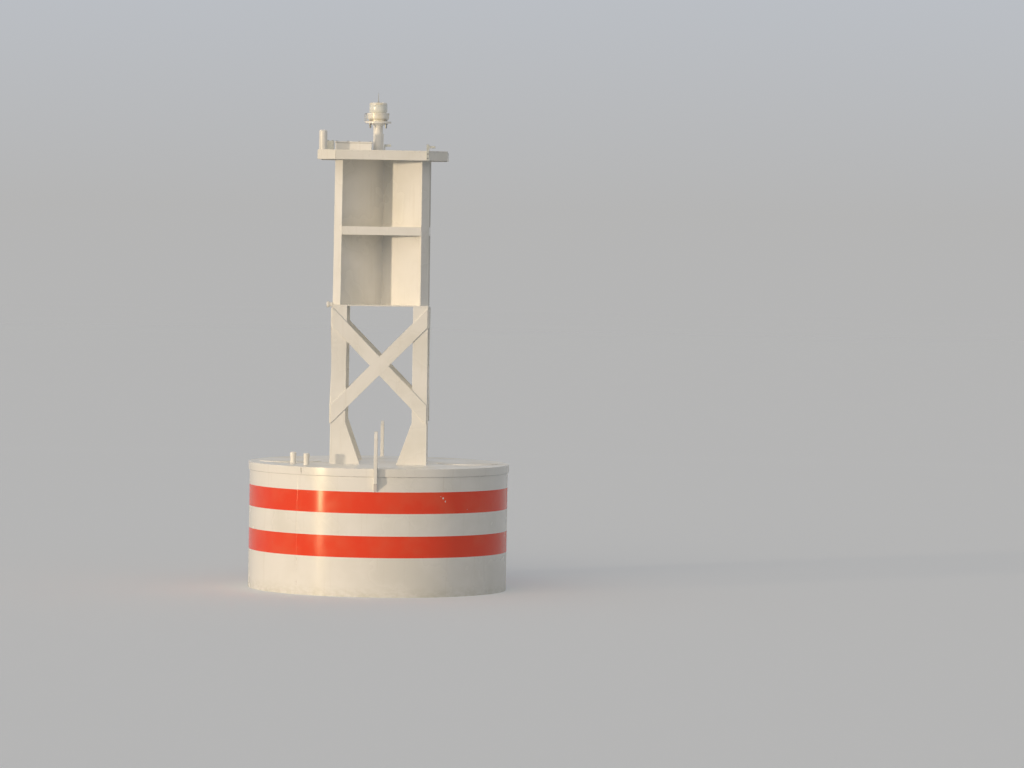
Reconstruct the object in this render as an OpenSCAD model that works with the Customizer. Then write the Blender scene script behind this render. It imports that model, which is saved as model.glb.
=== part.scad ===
// Lighted steel navigation buoy: a drum-shaped float with a counterweight tail, and a square
// tower that carries a radar reflector, a platform and a lantern.
// Millimetres, +Z up. The origin is on the buoy's axis at the waterline and the front faces -Y.

/* [Float] */
// Diameter of the float's shell
hull_d = 2438; // [2200:1:2700]
// Height of the deck's top above the waterline
freeboard = 1186; // [1150:1:1300]
// Depth of the straight shell below the waterline
shell_depth = 880; // [800:1:1000]
// Depth below the waterline of the seam between the two courses of shell plate
seam_depth = 150; // [100:1:250]
// Height of the conical bottom
cone_h = 300; // [250:1:400]
// Thickness of the deck plate
deck_t = 10; // [8:1:14]
// Height of the fender ring round the top of the shell
rim_h = 74; // [60:1:90]
// How far the fender ring stands out of the shell
rim_t = 10; // [8:1:16]

/* [Painted bands] */
// Height of each orange-red band
band_h = 200; // [180:1:210]
// White stretch between the two bands
band_gap = 208; // [190:1:220]
// Distance from the deck's top down to the upper band
band_drop = 214; // [205:1:225]
// Depth of each band's layer, flush with the shell
band_t = 2; // [1:0.5:3]

/* [Tail] */
// Diameter of the counterweight tube
tube_d = 508; // [450:1:560]
// Length of the tube between the cone and the counterweight
tube_len = 1720; // [1600:1:1800]
// Diameter of the cast counterweight
weight_d = 810; // [760:1:900]
// Height of the counterweight
weight_h = 442; // [400:1:500]
// Chamfer on the counterweight's edges
weight_chamfer = 60; // [40:1:80]
// Number of bracket plates between cone and tube
bracket_n = 4; // [3:1:6]
// Reach of a bracket plate out from the tube along the cone
bracket_reach = 440; // [350:1:500]
// Length of a bracket plate down the tube
bracket_drop = 420; // [350:1:500]
// Thickness of a bracket plate
bracket_t = 12; // [8:1:16]
// Width of a bracket plate's two blunt ends
bracket_toe = 36; // [24:1:48]

/* [Lifting lugs] */
// Thickness of a lifting lug
lug_t = 32; // [25:1:40]
// Width of a lifting lug above the deck
lug_w = 140; // [135:1:160]
// How far a lug stands out of the shell
lug_out = 64; // [55:1:75]
// Height of a lug's top above the deck
lug_top = 346; // [320:1:380]
// How far a lug reaches down the shell below the deck
lug_drop = 216; // [190:1:230]
// Height of the taper at a lug's lower end
lug_taper = 80; // [60:1:100]
// Diameter of the lifting eye
lug_eye_d = 57; // [50:1:64]

/* [Mooring eyes] */
// Thickness of a mooring eye plate
moor_t = 38; // [30:1:45]
// Diameter of the mooring eye's hole
moor_eye_d = 76; // [65:1:85]
// Radius of the plate round the hole
moor_r = 85; // [75:1:95]
// Height of the web above the hole's centre
moor_web = 300; // [250:1:350]
// Height of the hole's centre above the shell's lower edge
moor_rise = 30; // [0:1:60]

/* [Deck fittings] */
// Diameter of a battery pocket's bolted cover
cover_d = 580; // [520:1:620]
// Thickness of the cover's rim
cover_t = 6; // [5:1:12]
// Width of the cover's rim round its pressed centre
cover_rim_w = 60; // [50:1:80]
// Rise of the cover's pressed centre
cover_rise = 2; // [1:1:6]
// Diameter of a vent pipe
vent_d = 54; // [46:1:56]
// Diameter of a vent's cap
vent_cap_d = 60; // [58:1:68]
// Height of a vent above the deck
vent_h = 110; // [90:1:125]
// Height of a vent's cap
vent_cap_h = 40; // [32:1:50]

/* [Tower] */
// Width of the tower at the deck
tower_base_w = 905; // [896:1:960]
// Width of the tower under the platform
tower_top_w = 888; // [870:1:895]
// Height of the braced stage, from deck to reflector
stage_h = 1482; // [1400:1:1550]
// Width of a leg's flange
leg_w = 140; // [120:1:150]
// Thickness of a leg's flange
leg_t = 13; // [10:1:16]
// How far a foot gusset flares out from the flange at the deck
foot_flare = 141; // [120:1:160]
// Height of a foot gusset
foot_h = 396; // [360:1:420]
// Upright width of a brace bar where it crosses a leg
brace_v = 176; // [150:1:190]
// Thickness of a brace bar
brace_t = 10; // [8:1:12]
// How far a brace bar's foot starts below the gusset's tip
brace_lap = 14; // [5:1:25]
// Distance from a brace bar's head to the reflector's base plate
brace_head = 18; // [10:1:30]
// Distance of a brace bar's end from the leg's outer edge
brace_inset = 4; // [2:1:8]

/* [Radar reflector] */
// Height of the reflector, from its base plate's underside to the platform
reflector_h = 1447; // [1400:1:1500]
// Thickness of the reflector's base plate
base_t = 10; // [8:1:14]
// Width of a corner bar, which faces outward at 45 degrees
bar_w = 104; // [95:1:110]
// Thickness of a corner bar
bar_t = 12; // [8:1:14]
// Thickness of the crossed reflector plates
fin_t = 6; // [5:1:10]
// Height of the middle plate above the base plate's underside
mid_rise = 701; // [650:1:750]
// Thickness of the middle plate
mid_t = 8; // [6:1:10]
// Height of the rails round the middle plate
rail_h = 79; // [70:1:90]
// Thickness of those rails
rail_t = 8; // [6:1:10]
// Diameter of the tie-off knob at the reflector's foot
knob_d = 57; // [50:1:60]
// Length of the tie-off knob
knob_len = 55; // [45:1:65]
// Diameter of the knob's neck
knob_neck_d = 40; // [32:1:46]
// Length of the knob's head
knob_head = 22; // [16:1:28]

/* [Platform] */
// Width of the eight-sided platform across its long sides
platform_w = 1210; // [1190:1:1250]
// Length of each long side
platform_side = 878; // [840:1:890]
// Thickness of the platform's plate
platform_t = 10; // [8:1:14]
// Height of the skirt under the plate's edge
skirt_h = 80; // [70:1:90]
// Thickness of the skirt
skirt_t = 10; // [6:1:12]
// Diameter of the capped antenna socket
socket_d = 76; // [70:1:84]
// Height of the antenna socket
socket_h = 184; // [160:1:200]
// Distance from the platform's left side to the socket's axis
socket_in = 48; // [42:1:60]
// Distance from the front end of that side back to the socket's axis
socket_back = 9; // [0:1:30]
// Length of the equipment box, which ends level with the post's left side
box_l = 352; // [330:1:370]
// Width of the equipment box
box_w = 250; // [220:1:280]
// Height of the equipment box with its lid
box_h = 80; // [70:1:90]
// Thickness of the equipment box's lid
box_lid_t = 12; // [8:1:16]
// Overhang of the lid round the box
box_lid_over = 6; // [4:1:8]
// Distance from the lantern's axis forward to the equipment box
box_fore = 50; // [40:1:80]
// Gap between the two boxes
box_gap = 7; // [5:1:20]
// Width of the junction box
junction_w = 70; // [60:1:76]
// Height of the junction box
junction_h = 84; // [70:1:95]
// Height of the hook clips above the platform
clip_h = 60; // [50:1:70]
// Height of a hook clip's arm from its lower to its upper face
clip_arm_t = 22; // [14:1:26]
// Reach of the hook clip beside the post
post_clip_reach = 66; // [56:1:76]
// Width of that clip's strap
post_clip_w = 12; // [8:1:18]
// Depth of that clip
post_clip_deep = 30; // [24:1:36]
// Distance from the right side of the post to that clip
post_clip_beside = 17; // [10:1:30]
// Distance from the lantern's axis forward to that clip
post_clip_fore = 150; // [120:1:200]
// Reach of the hook clip on the front skirt
skirt_clip_reach = 82; // [60:1:90]
// Height of that clip's strap above its arm
skirt_clip_over = 14; // [0:1:24]
// Width of that clip's strap
skirt_clip_w = 26; // [20:1:34]
// Depth of that clip
skirt_clip_deep = 12; // [8:1:16]
// Distance from the right end of the front skirt to that clip
skirt_clip_in = 1; // [1:1:40]

/* [Lantern] */
// Offset of the lantern's post to the left of the axis
post_x = 57; // [40:1:70]
// Diameter of the lantern's post
post_d = 90; // [80:1:104]
// Height of the post up to its flange
post_h = 268; // [250:1:290]
// Diameter of the cable conduit on the post's right side
conduit_d = 16; // [12:1:20]
// Height of that conduit
conduit_h = 160; // [100:1:190]
// Diameter of the post's flange and of the lantern's flange
flange_d = 248; // [240:1:270]
// Thickness of each of those flanges
flange_t = 10; // [8:1:12]
// Height of the cone under the post's flange
flare_h = 24; // [18:1:30]
// Chamfer on the upper edge of the lantern's flange
flange_chamfer = 3; // [2:1:5]
// Number of the lantern's bolts
bolt_n = 4; // [4:2:8]
// Pitch circle of the lantern's bolts
bolt_pcd = 210; // [200:1:216]
// Diameter of a lantern bolt
bolt_d = 14; // [12:1:16]
// Length of a lantern bolt below the flange
bolt_drop = 44; // [36:1:50]
// Width of a lantern bolt's head and nut across their flats
nut_w = 24; // [22:1:26]
// Height of a lantern bolt's head and of its nut
nut_h = 12; // [10:1:14]
// Gap between the bolts' heads and the body's foot ring
nut_gap = 2; // [1:1:5]
// Diameter of the lantern's body over its rim
body_d = 212; // [205:1:220]
// Height of the lantern's body
body_h = 78; // [70:1:86]
// Height of the foot ring under the body's bowl
foot_ring_h = 14; // [14:1:18]
// Radius of the curve at the bottom of the bowl
bowl_round = 16; // [10:1:24]
// Height of the rim round the bowl's top
bowl_rim_h = 14; // [10:1:18]
// How far that rim stands out of the bowl
bowl_rim_t = 4; // [3:1:8]
// Diameter of the lantern's lens
lens_d = 172; // [166:1:188]
// Height of the lens from the neck to the cap
lens_h = 70; // [66:1:80]
// Number of prism ribs below the lens's plain belt, and again above it
rib_n = 3; // [2:1:4]
// Height of a prism rib
rib_h = 8; // [6:0.5:8]
// Depth of a prism rib
rib_depth = 3; // [2:0.5:5]
// Height of the neck under the lens
neck_h = 6; // [4:1:12]
// How far the neck lies inside the lens's outer face
neck_in = 12; // [8:1:20]
// Height of the domed cap
cap_h = 22; // [18:1:28]
// Radius of the curve round the cap's top
cap_round = 14; // [10:1:16]
// Height of the drip edge at the cap's foot
drip_h = 5; // [4:1:7]
// How far the drip edge stands out of the cap
drip_out = 4; // [2:1:6]
// Length of the bird spike
spike_h = 94; // [80:1:105]
// Diameter of the bird spike
spike_d = 7; // [6:1:9]
// Diameter of the boss at the spike's foot
boss_d = 22; // [16:1:28]
// Height of that boss
boss_h = 6; // [4:1:9]

/* [Clearances] */
// Gap at curved seats and at plates that lean with the tower
seat_gap = 0.3; // [0.2:0.1:0.5]
// Gap beside a lug where it passes through the fender ring
slot_gap = 1; // [0.5:0.5:2]

/* [Hidden] */
$fn = 96;
hull_r = hull_d / 2;
shell_top = freeboard - deck_t;
cone_z = -shell_depth - cone_h;
tube_r = tube_d / 2;
weight_z = cone_z - tube_len;
band_tops = [freeboard - band_drop, freeboard - band_drop - band_h - band_gap];

// Tower levels and the slope of its four faces
base_z = freeboard + stage_h;
top_z = base_z + reflector_h;
platform_z = top_z + platform_t;
batter = (tower_base_w - tower_top_w) / 2 / (top_z - freeboard);
half_0 = tower_base_w / 2 + freeboard * batter;
function half_w(z) = half_0 - z * batter;
mid_z = base_z + mid_rise;

// Corner bar: its outer face cuts the corner by bar_cut along each side
bar_cut = bar_w * sqrt(1 / 2);
function bar_seat(z) = sqrt(2) * half_w(z) - bar_cut * sqrt(1 / 2) - bar_t - seat_gap;

// Sides of the tower and its corners, each turned by a quarter from the last
SIDES = ["front", "right", "back", "left"];
CORNERS = ["front_left", "front_right", "back_right", "back_left"];

// Deck vents: [angle round the axis, distance in from the shell]
VENTS = [[210, 304], [226, 271]];

// Share of its diameter that the bird spike keeps at its tip
spike_tip = 0.4;
// Width of a bolt's head and nut across their corners
nut_corners = nut_w / cos(30);

module white_paint() color("#E9E7E0") children();
module band_paint() color("#D0442E") children();
module bottom_paint() color("#7A3A2C") children();
module bare_metal() color("#8E938F") children();
module moulded_white() color("#F1EFE8") children();

// A drum between two levels
module drum(r, z0, z1) translate([0, 0, z0]) cylinder(r = r, h = z1 - z0);

// The groove that a painted band lies in
module band_groove(z_top) {
    difference() {
        drum(hull_r + band_t, z_top - band_h, z_top);
        drum(hull_r - band_t, z_top - band_h - band_t, z_top + band_t);
    }
}

module hull_upper() white_paint() difference() {
    drum(hull_r, -seam_depth, shell_top);
    for (z = band_tops) band_groove(z);
}

module hull_lower() bottom_paint() drum(hull_r, -shell_depth, -seam_depth);

module hull_bottom() bottom_paint()
    translate([0, 0, cone_z]) cylinder(r1 = tube_r, r2 = hull_r, h = cone_h);

module deck_plate() white_paint() drum(hull_r, shell_top, freeboard);

module fender_ring() white_paint() difference() {
    drum(hull_r + rim_t, freeboard - rim_h, freeboard);
    drum(hull_r + seat_gap, freeboard - rim_h - rim_t, freeboard + rim_t);
    cube([lug_t + 2 * slot_gap, 2 * hull_d, 2 * freeboard + rim_t], center = true);
}

module band(i) band_paint() difference() {
    drum(hull_r, band_tops[i] - band_h, band_tops[i]);
    drum(hull_r - band_t + seat_gap, band_tops[i] - band_h - band_t, band_tops[i] + band_t);
}

module counterweight_tube() bottom_paint() drum(tube_r, weight_z, cone_z);

// Bracket plate: its upper edge follows the cone, its inner edge the tube
module tube_brackets() bottom_paint() {
    cone_slope = cone_h / (hull_r - tube_r);
    inner = tube_r + seat_gap;
    for (i = [0 : bracket_n - 1]) rotate([0, 0, 360 / bracket_n * (i + 0.5)])
        rotate([90, 0, 0]) linear_extrude(bracket_t, center = true) polygon([
            [inner, cone_z - bracket_drop],
            [inner, cone_z],
            [inner + bracket_reach, cone_z + bracket_reach * cone_slope - seat_gap],
            [inner + bracket_reach, cone_z + bracket_reach * cone_slope - bracket_toe],
            [inner + bracket_toe, cone_z - bracket_drop]
        ]);
}

module counterweight() bottom_paint() rotate_extrude() polygon([
    [0, weight_z - weight_h], [weight_d / 2 - weight_chamfer, weight_z - weight_h],
    [weight_d / 2, weight_z - weight_h + weight_chamfer], [weight_d / 2, weight_z - weight_chamfer],
    [weight_d / 2 - weight_chamfer, weight_z], [0, weight_z]
]);

// Upright plate on the shell, drawn outward from the axis; side is -1 at the front and 1 at the back
module shell_plate(side, t) rotate([0, 0, side * 90]) rotate([90, 0, 0])
    linear_extrude(t, center = true) children();

// Angle of the point where a line from (dx, dy) off the centre touches a circle of radius r
function touch_angle(dx, dy, r) = atan2(dy, dx) - acos(r / norm([dx, dy]));

module mooring_eye(side) bottom_paint() {
    eye = [hull_r + moor_r, moor_rise - shell_depth];
    root = hull_r + seat_gap;
    a = touch_angle(root - eye.x, moor_web, moor_r);
    shell_plate(side, moor_t) difference() {
        union() {
            translate(eye) circle(moor_r);
            polygon([
                [root, eye.y + moor_web], eye + moor_r * [cos(a), sin(a)], eye,
                [eye.x, eye.y - moor_r], [root, eye.y - moor_r]
            ]);
        }
        translate(eye) circle(d = moor_eye_d);
    }
}

module lifting_lug(side) white_paint() {
    outer = hull_r + lug_out;
    eye = [outer - lug_w / 2, freeboard + lug_top - lug_w / 2];
    root = hull_r + seat_gap;
    shell_plate(side, lug_t) difference() {
        union() {
            translate(eye) circle(d = lug_w);
            polygon([
                [root, freeboard - lug_drop], [outer, freeboard - lug_drop + lug_taper],
                [outer, eye.y], [outer - lug_w, eye.y], [outer - lug_w, freeboard], [root, freeboard]
            ]);
        }
        translate(eye) circle(d = lug_eye_d);
    }
}

// Bolted cover of a battery pocket, midway between tower and shell
module pocket_cover(side) white_paint() {
    cover_r = cover_d / 2;
    crown_r = cover_r - cover_rim_w;
    translate([side * (tower_base_w / 2 + hull_r) / 2, 0, freeboard]) rotate_extrude() polygon([
        [0, 0], [cover_r, 0], [cover_r, cover_t], [crown_r, cover_t],
        [crown_r - 2 * cover_rise, cover_t + cover_rise], [0, cover_t + cover_rise]
    ]);
}

// Half section of a drum whose upper edge is rounded
module rounded_section(r, h, edge) intersection() {
    union() {
        square([r, h - edge]);
        square([r - edge, h]);
        translate([r - edge, h - edge]) circle(edge);
    }
    square([r, h]);
}

// Vent pipe under a rounded cap
module vent() {
    cylinder(d = vent_d, h = vent_h - vent_cap_h);
    translate([0, 0, vent_h - vent_cap_h]) rotate_extrude()
        rounded_section(vent_cap_d / 2, vent_cap_h, vent_cap_d / 4);
}

module deck_vents() white_paint() for (v = VENTS)
    rotate([0, 0, v[0]]) translate([hull_r - v[1], 0, freeboard]) vent();

// Frame of one side: x along the side, y inward from its leaning face, z up
module on_side(k) rotate([0, 0, 90 * k])
    multmatrix([[1, 0, 0, 0], [0, 1, batter, -half_0], [0, 0, 1, 0], [0, 0, 0, 1]]) children();

// Frame of one corner: x and y inward along the two leaning faces, z up
module on_corner(k) rotate([0, 0, 90 * k])
    multmatrix([[1, 0, batter, -half_0], [0, 1, batter, -half_0], [0, 0, 1, 0], [0, 0, 0, 1]]) children();

// Triangular gusset beside a leg's flange, in the flange's own plane
module foot_gusset() translate([0, leg_t, 0]) rotate([90, 0, 0]) linear_extrude(leg_t)
    polygon([[leg_w, 0], [leg_w + foot_flare, 0], [leg_w, foot_h]]);

// Leg: an angle bar with a gusset on each flange
module leg(k) white_paint() on_corner(k) translate([0, 0, freeboard]) {
    linear_extrude(stage_h) polygon([
        [0, 0], [leg_w, 0], [leg_w, leg_t], [leg_t, leg_t], [leg_t, leg_w], [0, leg_w]
    ]);
    foot_gusset();
    mirror([1, -1, 0]) foot_gusset();
}

// Outline of a brace bar that rises to the right
module brace_outline() {
    lo = freeboard + foot_h - brace_lap;
    hi = base_z - brace_head;
    left = half_w(lo + brace_v) - brace_inset;
    right = half_w(hi) - brace_inset;
    polygon([[-left, lo], [right, hi - brace_v], [right, hi], [-left, lo + brace_v]]);
}

// A plate laid on the outside of one side
module side_plate(k, t) on_side(k) translate([0, -seat_gap, 0]) rotate([90, 0, 0])
    linear_extrude(t) children();

module brace(k) white_paint() side_plate(k, brace_t) brace_outline();

// The crossing bar, cut where it is welded to both edges of the other
module brace_cross(k) white_paint() side_plate(k, brace_t) difference() {
    mirror([1, 0]) brace_outline();
    offset(delta = seat_gap) brace_outline();
}

module reflector_base() white_paint() {
    h = half_w(base_z + base_t);
    translate([-h, -h, base_z]) cube([2 * h, 2 * h, base_t]);
}

// Flat bar across a corner, facing outward at 45 degrees
module corner_bar(k) white_paint() on_corner(k) translate([0, 0, base_z + base_t])
    linear_extrude(reflector_h - base_t) polygon([
        [0, bar_cut], [bar_cut, 0],
        [bar_cut, 0] + bar_t * sqrt(1 / 2) * [1, 1], [0, bar_cut] + bar_t * sqrt(1 / 2) * [1, 1]
    ]);

// Diagonal plate from corner bar to corner bar, between two levels
module fin(z0, z1) white_paint() rotate([0, 0, 45]) rotate([90, 0, 0])
    linear_extrude(fin_t, center = true) polygon([
        [-bar_seat(z0), z0], [bar_seat(z0), z0], [bar_seat(z1), z1], [-bar_seat(z1), z1]
    ]);

// The two halves of the crossing plate, welded to both faces of the other
module fin_cross(z0, z1) white_paint() for (turn = [135, 315]) rotate([0, 0, turn])
    rotate([90, 0, 0]) linear_extrude(fin_t, center = true) polygon([
        [fin_t / 2, z0], [bar_seat(z0), z0], [bar_seat(z1), z1], [fin_t / 2, z1]
    ]);

// Middle plate: a square that stops short of the rails and the corner bars
module reflector_middle() white_paint() {
    top = mid_z + mid_t;
    side = half_w(top) - rail_t - seat_gap;
    cut = side * sqrt(2) - bar_seat(top);
    corner = side - cut * sqrt(2);
    translate([0, 0, mid_z]) linear_extrude(mid_t) polygon([
        for (q = [0 : 3], p = [[corner, -side], [side, -corner]])
            [p.x * cos(90 * q) - p.y * sin(90 * q), p.x * sin(90 * q) + p.y * cos(90 * q)]
    ]);
}

// Rails round the middle plate, flush with the corner bars' edges
module reflector_rails() white_paint() for (k = [0 : 3]) {
    lo = mid_z + mid_t / 2 - rail_h / 2;
    reach = half_w(lo + rail_h) - bar_cut - rail_t - seat_gap;
    on_side(k) translate([-reach, 0, lo]) cube([2 * reach, rail_t, rail_h]);
}

// Corner points of the eight-sided platform, drawn in by an inset
function platform_points(inset) = let(
    w = platform_w / 2 - inset,
    a = platform_side / 2 - inset * tan(22.5)
) [for (q = [0 : 3], p = [[-a, -w], [a, -w]])
    [p.x * cos(90 * q) - p.y * sin(90 * q), p.x * sin(90 * q) + p.y * cos(90 * q)]];

module platform_plate() white_paint()
    translate([0, 0, top_z]) linear_extrude(platform_t) polygon(platform_points(0));

// One length of skirt under the platform's edge; even numbers are long sides, odd ones corners
module skirt(i) white_paint() {
    outer = platform_points(0);
    inner = platform_points(skirt_t);
    j = (i + 1) % 8;
    translate([0, 0, top_z - skirt_h]) linear_extrude(skirt_h)
        polygon([outer[i], outer[j], inner[j], inner[i]]);
}

// Short knob at the reflector's foot, on the left of the front corner
module tie_knob() white_paint()
    translate([-half_w(base_z - knob_d / 2) - seat_gap, leg_w / 2 - half_w(base_z), base_z + base_t])
        rotate([0, -90, 0]) {
            cylinder(d = knob_neck_d, h = knob_len);
            translate([0, 0, knob_len - knob_head]) cylinder(d = knob_d, h = knob_head);
        }

module antenna_socket() white_paint()
    translate([socket_in - platform_w / 2, socket_back - platform_side / 2, platform_z])
        rotate_extrude() rounded_section(socket_d / 2, socket_h, socket_d / 4);

// Frame at a height above the platform, on the lantern's axis
module on_post(z) translate([-post_x, 0, platform_z + z]) children();

// Frame at the equipment box's front left corner
module on_box(z) on_post(z) translate([-post_d / 2 - box_l, -box_fore - box_w, 0]) children();

module equipment_box() white_paint() on_box(0) translate([box_lid_over, box_lid_over, 0])
    cube([box_l - 2 * box_lid_over, box_w - 2 * box_lid_over, box_h - box_lid_t]);

module equipment_lid() white_paint() on_box(box_h - box_lid_t) cube([box_l, box_w, box_lid_t]);

module junction_box() bare_metal() on_box(0) translate([-box_gap - junction_w, 0, 0])
    cube([junction_w, junction_w, junction_h]);

// Hook clip: an upright strap that starts at a drop below the platform's top, and an arm over it
module hook_clip(drop, over, w, deep, reach) {
    translate([0, 0, -drop]) cube([w, deep, drop + clip_h]);
    translate([0, 0, clip_h - over - clip_arm_t]) cube([reach, deep, clip_arm_t]);
}

// One stands beside the post, and one runs down the front skirt at its right end
module hook_clips() bare_metal() {
    on_post(0) translate([post_d / 2 + post_clip_beside, -post_clip_fore - post_clip_deep, 0])
        hook_clip(0, 0, post_clip_w, post_clip_deep, post_clip_reach);
    skirt_clip_x = platform_side / 2 - skirt_clip_in - skirt_clip_w;
    translate([skirt_clip_x, -platform_w / 2 - skirt_clip_deep, platform_z])
        hook_clip(platform_t + skirt_h, skirt_clip_over, skirt_clip_w, skirt_clip_deep, skirt_clip_reach);
}

module lantern_post() white_paint() on_post(0) {
    cylinder(d = post_d, h = post_h - flange_t);
    translate([post_d / 2, 0, 0]) cylinder(d = conduit_d, h = conduit_h);
    translate([0, 0, post_h - flange_t - flare_h])
        cylinder(d1 = post_d, d2 = post_d + 2 * flare_h, h = flare_h);
    translate([0, 0, post_h - flange_t]) difference() {
        cylinder(d = flange_d, h = flange_t);
        lantern_bolt_holes();
    }
}

// Repeats its children round the lantern's bolt circle
module lantern_bolt_circle() for (i = [0 : bolt_n - 1])
    rotate([0, 0, 360 / bolt_n * (i + 0.5)]) translate([bolt_pcd / 2, 0, 0]) children();

module lantern_bolt_holes() lantern_bolt_circle() translate([0, 0, -flange_t])
    cylinder(d = bolt_d + 2 * seat_gap, h = 3 * flange_t);

module lantern_base() moulded_white() on_post(post_h) difference() {
    rotate_extrude() polygon([
        [0, 0], [flange_d / 2, 0], [flange_d / 2, flange_t - flange_chamfer],
        [flange_d / 2 - flange_chamfer, flange_t], [0, flange_t]
    ]);
    lantern_bolt_holes();
}

module lantern_bolts() bare_metal() on_post(post_h) lantern_bolt_circle() {
    translate([0, 0, -flange_t - bolt_drop]) cylinder(d = bolt_d, h = bolt_drop + 2 * flange_t);
    for (z = [-flange_t - nut_h, flange_t]) translate([0, 0, z])
        cylinder(d = nut_corners, h = nut_h, $fn = 6);
}

// Bowl on a foot ring that clears the bolts' heads, with a rim round its top
module lantern_body() moulded_white() on_post(post_h + flange_t) rotate_extrude() {
    square([(bolt_pcd - nut_corners) / 2 - nut_gap, foot_ring_h]);
    translate([0, body_h]) mirror([0, 1])
        rounded_section(body_d / 2 - bowl_rim_t, body_h - foot_ring_h, bowl_round);
    translate([0, body_h - bowl_rim_h]) square([body_d / 2, bowl_rim_h]);
}

// Drum lens on its neck: prism ribs that slant outward to a plain belt, and inward again above it
module lantern_lens() color("#E4E6E0") on_post(post_h + flange_t + body_h) {
    r = lens_d / 2;
    root = r - rib_depth;
    top = neck_h + lens_h;
    rotate_extrude() polygon([
        [0, 0], [r - neck_in, 0], [r - neck_in, neck_h],
        for (i = [0 : rib_n - 1]) each [[root, neck_h + i * rib_h], [r, neck_h + (i + 1) * rib_h]],
        for (i = [rib_n : -1 : 1]) each [[r, top - i * rib_h], [root, top - (i - 1) * rib_h]],
        [0, top]
    ]);
}

module lantern_cap() moulded_white() on_post(post_h + flange_t + body_h + neck_h + lens_h)
    rotate_extrude() {
        square([lens_d / 2, drip_h]);
        rounded_section(lens_d / 2 - drip_out, cap_h, cap_round);
    }

module bird_spike() bare_metal() on_post(post_h + flange_t + body_h + neck_h + lens_h + cap_h) {
    cylinder(d = boss_d, h = boss_h);
    cylinder(d1 = spike_d, d2 = spike_d * spike_tip, h = spike_h);
}

hull_upper();
hull_lower();
hull_bottom();
deck_plate();
fender_ring();
band(0);  // band_upper
band(1);  // band_lower
counterweight_tube();
tube_brackets();
counterweight();
mooring_eye(-1);  // mooring_eye_front
mooring_eye(1);  // mooring_eye_back
lifting_lug(-1);  // lifting_lug_front
lifting_lug(1);  // lifting_lug_back
pocket_cover(-1);  // pocket_cover_left
pocket_cover(1);  // pocket_cover_right
deck_vents();
for (k = [0 : 3]) {
    leg(k);
    brace(k);
    brace_cross(k);
    corner_bar(k);
    skirt(2 * k);
}
reflector_base();
reflector_middle();
reflector_rails();
fin(base_z + base_t, mid_z);  // fin_lower
fin_cross(base_z + base_t, mid_z);  // fin_lower_cross
fin(mid_z + mid_t, top_z);  // fin_upper
fin_cross(mid_z + mid_t, top_z);  // fin_upper_cross
platform_plate();
for (k = [0 : 3]) skirt(2 * k + 1);  // skirt_corners
tie_knob();
antenna_socket();
equipment_box();
equipment_lid();
junction_box();
hook_clips();
lantern_post();
lantern_base();
lantern_bolts();
lantern_body();
lantern_lens();
lantern_cap();
bird_spike();
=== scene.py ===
"""Looks of a lighted steel navigation buoy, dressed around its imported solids.

Lengths are in metres in the frame of the solids: +Z up, the front towards -Y, and the origin on the
buoy's axis at the waterline. An azimuth is in degrees round the axis, 0 at the front, 90 at the right.
"""

import logging
import math
from dataclasses import dataclass, field
from enum import Enum

import bmesh
import bpy
from mathutils import Matrix, Vector


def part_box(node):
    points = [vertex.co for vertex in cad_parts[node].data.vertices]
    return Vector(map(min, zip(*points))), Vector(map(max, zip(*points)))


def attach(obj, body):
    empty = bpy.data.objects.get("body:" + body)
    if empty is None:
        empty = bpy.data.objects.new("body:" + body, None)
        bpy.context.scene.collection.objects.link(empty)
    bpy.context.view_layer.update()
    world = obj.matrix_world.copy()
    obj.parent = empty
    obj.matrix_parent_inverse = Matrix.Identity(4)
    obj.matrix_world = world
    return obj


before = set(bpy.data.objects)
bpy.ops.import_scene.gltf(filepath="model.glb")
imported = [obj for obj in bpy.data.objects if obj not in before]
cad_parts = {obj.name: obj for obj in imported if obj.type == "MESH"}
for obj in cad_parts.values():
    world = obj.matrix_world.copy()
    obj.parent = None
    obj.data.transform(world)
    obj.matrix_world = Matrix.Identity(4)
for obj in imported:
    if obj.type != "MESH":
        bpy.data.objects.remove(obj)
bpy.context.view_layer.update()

LOG = logging.getLogger("buoy")
BODY = "root"
MM = 0.001
TURN = 2 * math.pi
UP = Vector((0, 0, 1))
FRONT = Vector((0, -1, 0))
SIDES = ("front", "right", "back", "left")
CORNERS = ("front_left", "front_right", "back_right", "back_left")
DIAGONALS = (45, 135, 225, 315)
# Length of one ripple of a weld bead.
RIPPLE = 8 * MM
# Points of a solid this close are joined, and facets that meet at less than this are one face.
JOINED = 0.01 * MM
FLAT_TURN = math.radians(0.5)
# Edges sharper than these are eased on a solid, and stay sharp on a new piece.
EASED_TURN = math.radians(32)
SHARP_TURN = math.radians(40)

Point = tuple[float, float, float]
Station = tuple[Vector, Vector]
Socket = bpy.types.NodeSocket
Material = bpy.types.Material


class Slot(Enum):
    """The record's material slots."""

    WHITE = "white_enamel"
    BAND = "orange_red_enamel"
    BOTTOM = "bottom_paint"
    BALLAST = "cast_ballast"
    GALVANISED = "galvanised_steel"
    STAINLESS = "stainless_steel"
    LANTERN = "lantern_polycarbonate"
    LENS = "lens_polycarbonate"


class Coat(Enum):
    """The finishes, each with the record's slot that it belongs to."""

    WHITE = ("white", Slot.WHITE)
    NONSKID = ("nonskid", Slot.WHITE)
    BAND = ("band", Slot.BAND)
    BOTTOM = ("bottom", Slot.BOTTOM)
    BALLAST = ("ballast", Slot.BALLAST)
    GALVANISED = ("galvanised", Slot.GALVANISED)
    STAINLESS = ("stainless", Slot.STAINLESS)
    LANTERN = ("lantern", Slot.LANTERN)
    GASKET = ("gasket", Slot.LANTERN)
    LENS = ("lens", Slot.LENS)

    @property
    def slot(self) -> Slot:
        """The record's slot of this finish."""
        return self.value[1]


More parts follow.
